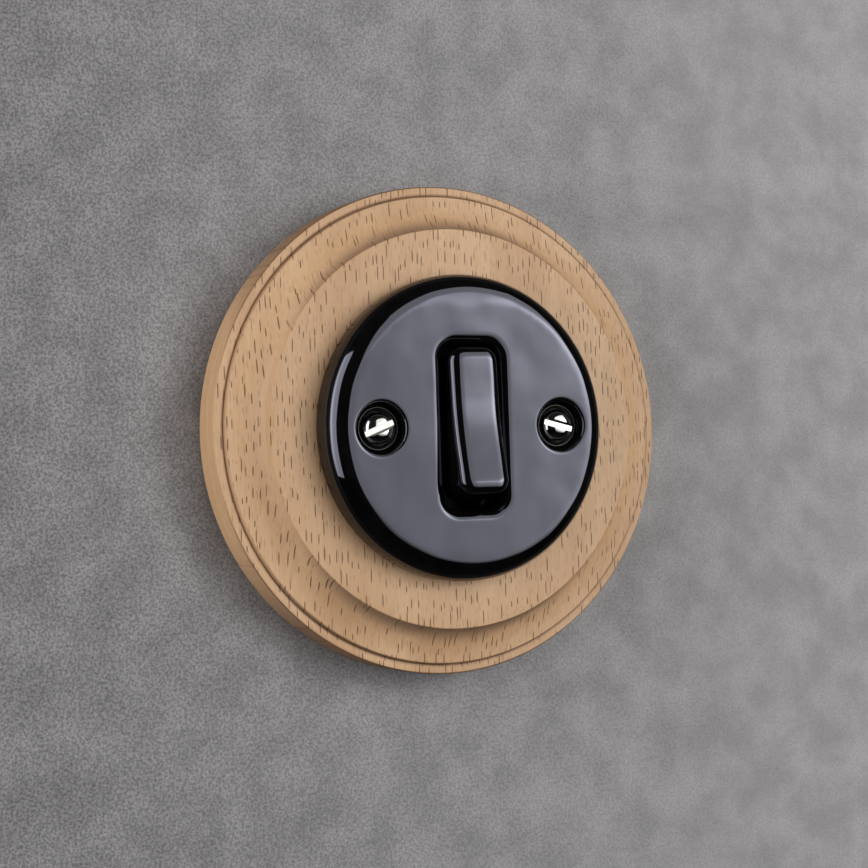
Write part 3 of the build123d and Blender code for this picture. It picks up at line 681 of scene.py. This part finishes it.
def rolled_edge(rolls, depth, steps):
    """As soft_edge, for an edge of several rolls with a straight flank before the last one.

    Each roll is a radius and its slope in degrees at the start and the end.
    """
    moves = []
    for radius, start, end in rolls:
        turn = radians(end - start) / steps
        slopes = [radians(start) + turn * (k + 0.5) for k in range(steps)]
        moves += [(radius * abs(turn) * cos(slope), radius * abs(turn) * sin(slope)) for slope in slopes]
    flank = depth - sum(down for _, down in moves)
    moves.insert(len(moves) - steps, (flank / tan(radians(rolls[-1][1])), flank))
    edge = [(sum(inward for inward, _ in moves), 0.0)]
    for inward, down in moves:
        edge.append((edge[-1][0] - inward, edge[-1][1] + down))
    return edge


def piece_from(bm, name):
    """An object from a finished bmesh."""
    mesh = bpy.data.meshes.new(name)
    bm.to_mesh(mesh)
    bm.free()
    finish_mesh(mesh, GLAZED_SHARP)
    return new_object(name, mesh)


# %% [markdown]
# ## Cover
# The cover is a shallow glazed dish: a flat face, a wide soft rounding all round, a slot with soft
# lips and two sunk screw holes. The outer rounding is wide: it bends the light window into the
# thin bright line along the edge of the face, with black outside it, and the second window into
# the strip at the left. The holes lie partly in that rounding, so they are made level and then
# lowered with the face around them.

# %% Cover
COVER_OUTER, COVER_FACE, COVER_EDGE, COVER_EASE = 32.5, 22.9, 5.0, 1.0
COVER_FOOT, COVER_FOOT_EDGE = 15.3, 0.4
CAVITY, CEILING, CAVITY_EDGE = 27.8, 18.6, 1.5
SLOT_WIDTH, SLOT_LENGTH, SLOT_CORNER, SLOT_LIP = 12.8, 34.4, 2.8, 2.7
SCREW_AT, SINK_FOOT, SINK_FLOOR = 21.0, 4.5, 20.24
SINK_ROLLS = ((1.8, 0, 20), (0.5, 20, 78), (1.5, 78, 30))
SCREW_HOLE, BOSS, BOSS_FOOT = 2.3, 4.6, 17.2
GUARD, FIELD_OUTER = 0.30, 28.1
RIM_STEPS, SLOT_STEPS, ROLL_STEPS, OUTER_POINTS, HOLE_POINTS = 36, 14, 8, 200, 84
FACE_SPACING, CEILING_SPACING, ABOVE_FLOOR, INSIDE = 0.8, 4.0, 0.05, 0.01
EDGE = soft_edge(COVER_EDGE, COVER_EASE, RIM_STEPS)


def face_fall(radius):
    """How far the face has fallen at a radius, along the soft outer edge."""
    gap = COVER_OUTER - radius
    for (wide, high), (near, low) in zip(EDGE, EDGE[1:]):
        if near <= gap <= wide:
            return high + (low - high) * (wide - gap) / (wide - near)
    return 0.0


bm = bmesh.new()
profile = [(FIELD_OUTER, COVER_FACE - face_fall(FIELD_OUTER))]
profile += [(COVER_OUTER - gap, COVER_FACE - fallen) for gap, fallen in EDGE
            if COVER_OUTER - gap > FIELD_OUTER + GUARD / 2]
profile += [(COVER_OUTER, COVER_FOOT + COVER_FOOT_EDGE)]
profile += arc((COVER_OUTER - COVER_FOOT_EDGE, COVER_FOOT + COVER_FOOT_EDGE),
               COVER_FOOT_EDGE, 0, -90, 5)[1:]
profile += [(CAVITY, COVER_FOOT), (CAVITY, CEILING - CAVITY_EDGE)]
profile += arc((CAVITY - CAVITY_EDGE, CEILING - CAVITY_EDGE), CAVITY_EDGE, 0, 90, 6)[1:]
profile += [(CAVITY - CAVITY_EDGE - GUARD, CEILING)]
face_outer, ceiling_outer = skin(bm, [circle(radius, out, 0.0, OUTER_POINTS) for radius, out in profile])

slot_edge = [(SLOT_LIP + GUARD, 0.0)] + soft_edge(SLOT_LIP, COVER_EASE, SLOT_STEPS)
slot_edge.append((0.0, COVER_FACE - CEILING))
face_slot, ceiling_slot = skin(bm, [
    rounded_box(SLOT_WIDTH + 2 * open_by, SLOT_LENGTH + 2 * open_by, SLOT_CORNER + open_by, COVER_FACE - depth)
    for open_by, depth in slot_edge])

face_holes, ceiling_holes = [], []
for side in (-SCREW_AT, SCREW_AT):
    edge = rolled_edge(SINK_ROLLS, COVER_FACE - SINK_FLOOR, ROLL_STEPS)
    profile = [(SINK_FOOT + edge[0][0] + GUARD, COVER_FACE)]
    profile += [(SINK_FOOT + open_by, COVER_FACE - depth) for open_by, depth in edge]
    profile += [(SCREW_HOLE, SINK_FLOOR), (SCREW_HOLE, BOSS_FOOT), (BOSS, BOSS_FOOT), (BOSS, CEILING)]
    mouth, foot = skin(bm, [circle(radius, out, side, HOLE_POINTS) for radius, out in profile])
    face_holes.append(mouth)
    ceiling_holes.append(foot)

field(bm, [face_outer, face_slot] + face_holes, COVER_FACE, FACE_SPACING)
field(bm, [ceiling_outer, ceiling_slot] + ceiling_holes, CEILING, CEILING_SPACING)
for vert in bm.verts:
    radius = sqrt(vert.co.x ** 2 + vert.co.z ** 2) / MM
    if -vert.co.y > (SINK_FLOOR + ABOVE_FLOOR) * MM and radius < FIELD_OUTER - INSIDE:
        vert.co.y += face_fall(radius) * MM
cover = piece_from(bm, "cover_glazed")
place_piece(cover, "switch", "black_glaze", "ceramic_cover")

# %% [markdown]
# ## Rocker
# The rocker is a long key with a dished face: two flat halves that rise to the ends and a soft
# bend between them. All its upper edges are fully rounded. Its rings follow the dish by taking
# each point's height from how far up or down the key it lies. Underneath it is hollow and
# arched over the pivot. The mesh is made level and then tilted, upper end pressed in.

# %% Rocker
KEY_WIDTH, KEY_LENGTH, KEY_MID, KEY_SKIRT = 11.2, 31.0, 26.0, 17.2
KEY_CORNER, KEY_EDGE, KEY_EASE, KEY_DRAFT = 3.2, 2.0, 1.5, tan(radians(2.0))
BEND, BEND_RADIUS = radians(5.0), 60.0
KEY_SIDE_WALL, KEY_END_WALL, KEY_FACE_WALL = 2.0, 4.4, 3.0
PIVOT, HUB_ROOM, REST_TILT = 16.0, 3.3, radians(-8.0)
KEY_POINTS, KEY_STEPS, POCKET_CORNER = 40, 16, 0.3
FLANK_SHARES, FACE_INSETS = (0.04, 0.5, 0.96), (3.0, 3.6, 4.4, KEY_WIDTH / 2)


def dish(up_by):
    """Height of the key's face, by how far up or down the key."""
    bend_end = BEND_RADIUS * sin(BEND)
    if abs(up_by) < bend_end:
        return KEY_MID + BEND_RADIUS - sqrt(BEND_RADIUS ** 2 - up_by ** 2)
    return KEY_MID + BEND_RADIUS * (1 - cos(BEND)) + (abs(up_by) - bend_end) * tan(BEND)


def underside(up_by):
    """Height of the key's lower edge, which arches over the pivot's hub."""
    if abs(up_by) >= HUB_ROOM:
        return KEY_SKIRT
    return max(KEY_SKIRT, PIVOT + sqrt(HUB_ROOM ** 2 - up_by ** 2))


def key_ring(inset, height):
    """A ring of the key's plan, drawn in by an inset, with each point at its own height."""
    ring = rounded_box(max(KEY_WIDTH - 2 * inset, 0.0), KEY_LENGTH - 2 * inset,
                       max(KEY_CORNER - inset, 0.0), 0.0, along=KEY_POINTS)
    return [(x, y, height(y)) for x, y, _ in ring]


bm = bmesh.new()
pocket = [(x, y, underside(y)) for x, y, _ in rounded_box(
    KEY_WIDTH - 2 * KEY_SIDE_WALL, KEY_LENGTH - 2 * KEY_END_WALL, POCKET_CORNER, 0.0, along=KEY_POINTS)]
rings = [[(x, y, KEY_MID - KEY_FACE_WALL) for x, y, _ in pocket], pocket]
flare = KEY_DRAFT * (KEY_MID - KEY_SKIRT)
rings.append(key_ring(-flare, underside))
for share in FLANK_SHARES:
    rings.append(key_ring(-flare * (1 - share), lambda y, s=share: underside(y) + s * (
        dish(y) - KEY_EDGE - underside(y))))
for inset, fallen in reversed(soft_edge(KEY_EDGE, KEY_EASE, KEY_STEPS)):
    rings.append(key_ring(inset, lambda y, fallen=fallen: dish(y) - fallen))
for inset in FACE_INSETS:
    rings.append(key_ring(inset, dish))
pocket_top, _ = skin(bm, rings)
bm.faces.new(pocket_top)
pivot = front(0, 0, PIVOT)
pressed = Matrix.Translation(pivot) @ Matrix.Rotation(REST_TILT, 4, "X") @ Matrix.Translation(-pivot)
bm.transform(pressed)
rocker = piece_from(bm, "rocker_glazed")
place_piece(rocker, "rocker", "black_glaze", "rocker_key")

# %% [markdown]
# ## Plunger spring
# Inside the rocker's carrier a coil spring pushes the plunger onto the contact lever. The packed
# coil has the right shape, but a CAD piece is rigid, and the plunger would push through it. So a
# copy of its mesh takes its place, rides on the rocker and keeps a mesh of its own.

# %% Plunger spring
coil = frame["nodes"]["plunger_spring"].data.copy()
coil.name = "plunger_spring_coil"
finish_mesh(coil, GLAZED_SHARP)
spring = new_object(coil.name, coil)
place_piece(spring, "rocker", SLOT_OF["plunger_spring"], "plunger_spring")
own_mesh(spring)

# %% [markdown]
# ## Screws
# All the screws are one family: a turned head with a slot, set on a plain shank. One Geometry
# Nodes tree makes the family. It turns the section on the lathe above, cuts the slot with a
# block, and sets the result on every point of the input mesh, turned by that point's own angle.
# The section comes from a second object, because the first gives the places.

# %% The screw tree
SCREW_STEPS, SCREW_SHARP, SLOT_LEAN = 72, 35.0, tan(radians(12.0))
DOME_POWER, DOME_STEPS, TIP_CHAMFER = 3, 18, 0.4


def make_screw_tree():
    tree, given, result = new_tree("Slotted screws", "GeometryNodeTree", {
        "Places": "Geometry", "Section": "Object", "Steps": "Int", "Slot width": "Float",
        "Slot floor": "Float", "Slot length": "Float", "Slot lean": "Float", "Lay": "Vector",
        "Finish": "Material"}, {"Geometry": "Geometry"})
    section = link("GeometryNodeObjectInfo", {"Object": given["Section"]})
    form = link("GeometryNodeGroup", {"Section": section.outputs["Geometry"], "Steps": given["Steps"]},
                node_tree=LATHE)
    size = joined(given["Slot length"], given["Slot length"], given["Slot width"])
    block = link("GeometryNodeMeshCube", {"Size": size})
    lift = math("ADD", times(given["Slot length"], 0.5), given["Slot floor"])
    block = link("GeometryNodeTransform", {
        "Geometry": block.outputs["Mesh"], "Translation": joined(y=times(lift, -1.0))})
    corner = parts(add(tree, "GeometryNodeInputPosition").outputs[0])
    above = math("SUBTRACT", times(corner["Y"], -1.0), given["Slot floor"])
    widen = times(math("SIGN", corner["Z"]), times(above, given["Slot lean"]))
    block = link("GeometryNodeSetPosition", {"Geometry": block.outputs[0], "Offset": joined(z=widen)})
    cut = link("GeometryNodeMeshBoolean", {0: form.outputs[0], 1: block.outputs[0]},
               operation="DIFFERENCE", solver="EXACT")
    turn = add(tree, "GeometryNodeInputNamedAttribute", {"Name": "turn"}, data_type="FLOAT").outputs[0]
    laid = link("GeometryNodeInstanceOnPoints", {
        "Points": given["Places"], "Instance": cut.outputs[0], "Rotation": given["Lay"]})
    spun = link("GeometryNodeRotateInstances", {
        "Instances": laid.outputs[0], "Rotation": joined(y=turn), "Local Space": True})
    solid = link("GeometryNodeRealizeInstances", {0: spun.outputs[0]})
    painted = link("GeometryNodeSetMaterial", {"Geometry": solid.outputs[0], "Material": given["Finish"]})
    fill(result, {0: painted.outputs[0]})
    return tree


SCREWS = make_screw_tree()
print("made tree", SCREWS.name)


def screw_section(shank, length, head, rim, dome):
    """Section of a screw from its top to its tip: a dome that rolls off outwards, a rim and a shank."""
    radius = head / 2
    points = [(radius * share, rim + dome * (1 - share ** DOME_POWER))
              for share in ((1 - EASED / 2 / radius) * k / DOME_STEPS for k in range(DOME_STEPS + 1))]
    points += arc((radius - EASED / 2, rim - EASED / 4), EASED / 2, 50, 0, 4)
    points += [(radius, 0.0), (shank / 2, 0.0), (shank / 2, TIP_CHAMFER - length)]
    return points + [(shank / 2 - TIP_CHAMFER, -length), (0.0, -length)]


def screws(name, slot, nodes, places, sizes, cut, lay=(0.0, 0.0, 0.0)):
    """One piece of slotted screws: places holds a point in metres and a turn in degrees each.

    Sizes are the shank, its length, the head, its rim and its dome; cut is the slot's width and depth.
    """
    _, _, head, rim, dome = sizes
    section = section_mesh(name + "_section", screw_section(*sizes))
    mesh = bpy.data.meshes.new(name)
    mesh.from_pydata([point for point, _ in places], [], [])
    turns = mesh.attributes.new("turn", "FLOAT", "POINT")
    turns.data.foreach_set("value", [radians(degrees) for _, degrees in places])
    piece = new_object(name, mesh)
    use_tree(piece, SCREWS, {
        "Section": section, "Steps": SCREW_STEPS, "Slot width": cut[0] * MM,
        "Slot floor": (rim + dome - cut[1]) * MM, "Slot length": 2 * head * MM,
        "Slot lean": SLOT_LEAN, "Lay": lay, "Finish": FINISHES[slot]}, SCREW_SHARP)
    bpy.data.objects.remove(section)
    place_piece(piece, "switch", slot, *nodes)


# %% Cover screws
COVER_SCREW, COVER_CUT, SCREW_SEAT = (3.9, 25.0, 7.0, 0.58, 1.58), (1.1, 1.5), 20.84
for label, side, turn in (("left", -SCREW_AT, -21.0), ("right", SCREW_AT, 14.5)):
    screws("cover_screw_bright_" + label, "nickel_plate", ["cover_screw_" + label],
           [(front(side, 0, SCREW_SEAT), turn)], COVER_SCREW, COVER_CUT)

# %% [markdown]
# ## Washers
# A black cup washer sits under each head. Its flat middle carries the head, and round that it
# rises like a shallow cup to a thin rounded rim. The cup's slope looks away from every light, so
# it stays black, and only its rim draws a fine bright ring.

# %% Washers under the heads
WASHER_EDGE, CUP_START, CUP_FOOT, CUP_FLOOR = 0.13, 3.3, 3.6, 0.12
for label in ("left", "right"):
    low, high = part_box("cover_washer_" + label)
    reach, middle, foot, top = (high.x - low.x) / 2 / MM, (high.x + low.x) / 2, -high.y / MM, -low.y / MM
    washer_section = [(SCREW_HOLE, foot), (SCREW_HOLE, top), (CUP_START, top), (CUP_FOOT, foot + CUP_FLOOR)]
    washer_section += arc((reach - WASHER_EDGE, top - WASHER_EDGE), WASHER_EDGE, 120, 0, 8)
    washer_section += [(reach, foot), (SCREW_HOLE, foot)]
    washer = section_mesh("cover_washer_turned_" + label, washer_section)
    use_tree(washer, LATHE, {"Steps": SCREW_STEPS}, TURNED_SHARP)
    washer.data.transform(Matrix.Translation((middle, 0.0, 0.0)))
    place_piece(washer, "switch", "washer_fibre", "cover_washer_" + label)

# %% Clamp screws behind
BRIDGE_SCREW, BRIDGE_CUT, BRIDGE_SEAT = (2.2, 8.7, 4.2, 0.5, 0.8), (0.7, 0.7), 3.7
low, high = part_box("bridge_screws")
wide, tall = ((high[axis] - low[axis]) / 2 / MM - BRIDGE_SCREW[2] / 2 for axis in (0, 2))
places = [(front(x * wide, y * tall, BRIDGE_SEAT), 35.0 * x * y + 20.0 * y)
          for x in (-1, 1) for y in (-1, 1)]
screws("bridge_screws_plated", "plated_steel", ["bridge_screws"], places, BRIDGE_SCREW, BRIDGE_CUT)
TERMINAL_SCREW, TERMINAL_CUT, TERMINAL_TURN = (2.9, 3.3, 5.5, 1.4, 0.4), (0.9, 0.9), 25.0
for end, lay in (("upper", -pi / 2), ("lower", pi / 2)):
    for side in ("left", "right"):
        node = f"terminal_screw_{end}_{side}"
        low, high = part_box(node)
        middle = (low + high) / 2
        seat = low.z + TERMINAL_SCREW[1] * MM if end == "upper" else high.z - TERMINAL_SCREW[1] * MM
        screws(f"{node}_plated", "plated_steel", [node], [((middle.x, middle.y, seat), TERMINAL_TURN)],
               TERMINAL_SCREW, TERMINAL_CUT, (lay, 0.0, 0.0))

# %% [markdown]
# ## Wall, floor and light
# The wall is plain plaster, with a faint cloud and a fine speckle that fades to the right. It is
# seen from the room only: from behind it lets the view through, and a round opening behind the
# backplate lets the light in, so that the mechanism in the wall box can be looked at. A glaze is
# only as good as what it mirrors, so the lights are glowing sheets with a shape of their own. The
# key is a tall soft window at the right, hottest a little above and to the right of where the flat
# face looks, which gives the face its slow change of grey and the lips their bright lines. A
# second, narrow window at the left reaches to the wall and draws the strip on the cover's side.
# Two behind the wall serve the views of the mechanism. The room itself is dim, and the floor and
# the wall keep out of the reflections, so the roundings stay black. Only the camera sees a pale
# floor and a pale room, in the views past the wall.

# %% Wall and floor
GRAIN_LIMITS, PAINTED_LIGHT_LIMITS, REFLECTION_LOSS = (0.4, 1.6), (0.7, 1.3), 0.95
CORNERS = ((-1, -1), (1, -1), (1, 1), (-1, 1))


def sheet_of(name, material, corners, faces=((0, 1, 2, 3),)):
    """A flat sheet of the stage from its corners in metres."""
    mesh = bpy.data.meshes.new(name)
    mesh.from_pydata(corners, [], faces)
    mesh.materials.append(material)
    piece = new_object(name, mesh)
    return piece


def held(value, low, high):
    """A value kept between two limits."""
    return math("MINIMUM", math("MAXIMUM", value, low), high)


def make_paint(name, colour, patches, cloud, grains, speckle,
               fade=0.0, lean=0.0, one_sided=False, own_light=0.0):
    """Matt paint in faint patches, speckled by its grain and nearly black in reflections.

    Fade is how much fainter the speckle gets per metre to the right, lean is painted light, the
    change of tone per metre to the right that stands for less light on the wall's left, and own
    light is what the camera alone sees.
    """
    material, shader, place = new_material(name)
    tone = mottle(place, patches, grains,
                  tuple(c * (1 - cloud) for c in colour), tuple(c * (1 + cloud) for c in colour))
    across = parts(place)["X"]
    strong = held(math("SUBTRACT", 1.0, times(across, fade)), *GRAIN_LIMITS)
    grain = times(ramp(tone["Height"], 0.25, 0.75, -speckle, speckle), strong)
    slow = held(math("ADD", times(across, lean), 1.0), *PAINTED_LIGHT_LIMITS)
    tree = material.node_tree
    # painted light: the tone rises to the right, as the light on the wall does
    rays = add(tree, "ShaderNodeLightPath").outputs
    shown = math("SUBTRACT", 1.0, times(rays["Is Glossy Ray"], REFLECTION_LOSS))
    level = times(times(math("ADD", grain, 1.0), slow), shown)
    paint = link("ShaderNodeVectorMath", {0: tone["Colour"], "Scale": level}, operation="SCALE").outputs[0]
    fill(shader, {
        "Base Color": paint, "Roughness": 0.9, "Normal": bump(tone["Height"], 0.2, 0.3 * MM),
        "Emission Color": paint, "Emission Strength": times(rays["Is Camera Ray"], own_light)})
    if one_sided:
        behind = add(tree, "ShaderNodeNewGeometry").outputs["Backfacing"]
        clear = add(tree, "ShaderNodeBsdfTransparent").outputs[0]
        mix = link("ShaderNodeMixShader", {0: behind, 1: shader.outputs[0], 2: clear})
        fill(tree.nodes["Material Output"], {"Surface": mix.outputs[0]})
    return material


WALL_HALF, WALL_Y, FLOOR_HALF = 1.5, 0.0001, 4.0
WALL_OPENING, OPENING_STEPS = 51.8 * MM, 192
turns = [2 * pi * k / OPENING_STEPS for k in range(OPENING_STEPS)]
rims = [(WALL_OPENING, WALL_HALF / max(abs(cos(t)), abs(sin(t)))) for t in turns]
corners = [(reach * cos(t), WALL_Y, reach * sin(t)) for t, rim in zip(turns, rims) for reach in rim]
count = len(corners)
# its lean paints the wall darker to the left, where less light falls
plaster = make_paint("wall paint", (0.243, 0.238, 0.245), patches=90.0, cloud=0.13, grains=1900.0,
                     speckle=0.28, fade=7.5, lean=1.9, one_sided=True)
wall = sheet_of("wall", plaster, corners,
                [(k, k + 1, (k + 3) % count, (k + 2) % count) for k in range(0, count, 2)])
pale = make_paint("floor paint", (0.70, 0.69, 0.68), patches=9.0, cloud=0.07, grains=400.0,
                  speckle=0.03, own_light=0.75)
floor = sheet_of("floor", pale, [(x * FLOOR_HALF, y * FLOOR_HALF, -WALL_HALF) for x, y in CORNERS])
print("wall with", len(wall.data.polygons), "faces round its opening, and", floor.name)


# %% Lights
def soft_window(name, azimuth, elevation, away, size, level, foot=1.0, spots=(), colour=(1, 1, 1)):
    """A glowing sheet that faces the switch from a direction in degrees.

    Its level fades to a share at the foot, and each spot adds an amount round a place on the sheet:
    the amount, the place to the side and up, and its width and height.
    """
    turn = aimed(azimuth, elevation)
    side, rise, centre = -turn.col[0].xyz, turn.col[1].xyz, away * turn.col[2].xyz
    width, height = size
    corners = [centre + x * side * width / 2 + z * rise * height / 2 for x, z in CORNERS]
    material, shader, place = new_material(name + " cloth")
    tree = material.node_tree
    tree.nodes.remove(shader)
    offset = vector_math("SUBTRACT", place, centre)
    along_side, along_rise = (link("ShaderNodeVectorMath", {0: offset, 1: axis},
                                   operation="DOT_PRODUCT").outputs["Value"] for axis in (side, rise))
    glow = ramp(along_rise, -height / 2, -height / 5, level * foot, level)
    for amount, at_side, at_rise, wide, tall in spots:
        far = []
        for along, at, reach in ((along_side, at_side, wide), (along_rise, at_rise, tall)):
            step = math("DIVIDE", math("SUBTRACT", along, at), reach)
            far.append(times(step, step))
        fade = math("EXPONENT", times(math("ADD", *far), -0.5))
        glow = math("ADD", glow, times(fade, amount))
    behind = add(tree, "ShaderNodeNewGeometry").outputs["Backfacing"]
    glow = times(glow, math("SUBTRACT", 1.0, behind))
    shine = link("ShaderNodeEmission", {"Color": (*colour, 1.0), "Strength": glow})
    fill(tree.nodes["Material Output"], {"Surface": shine.outputs[0]})
    sheet_of(name, material, corners).visible_camera = False


soft_window("key_window", 26.5, 9.5, away=1.0, size=(1.0, 1.36), level=2.1, foot=0.25, spots=[
    (5.0, -0.25, 0.037, 0.150, 0.105), (2.3, -0.167, 0.052, 0.285, 0.040),
    (2.4, -0.34, -0.167, 0.19, 0.25)], colour=(1.0, 0.99, 0.97))
soft_window("left_window", -73.5, 9.0, away=1.0, size=(0.59, 1.25), level=3.85, foot=0.8, spots=[
    (4.0, 0.15, 0.0, 0.06, 0.40)], colour=(1.0, 0.99, 0.98))
soft_window("rear_window", -150.0, 35.0, away=1.3, size=(1.2, 1.2), level=3.0)
soft_window("rear_fill", 140.0, 5.0, away=1.3, size=(1.0, 1.2), level=1.5)

DIM_ROOM, PALE_ROOM = (0.02, 0.02, 0.021, 1.0), (0.60, 0.60, 0.61, 1.0)
world = bpy.data.worlds.new("dim room")
world.use_nodes = True
tree = world.node_tree
seen = add(tree, "ShaderNodeLightPath").outputs["Is Camera Ray"]
fill(tree.nodes["Background"], {"Color": blend(seen, DIM_ROOM, PALE_ROOM)})
bpy.context.scene.world = world
bpy.context.scene.view_settings.view_transform = "Standard"
print("stage and lights are set")
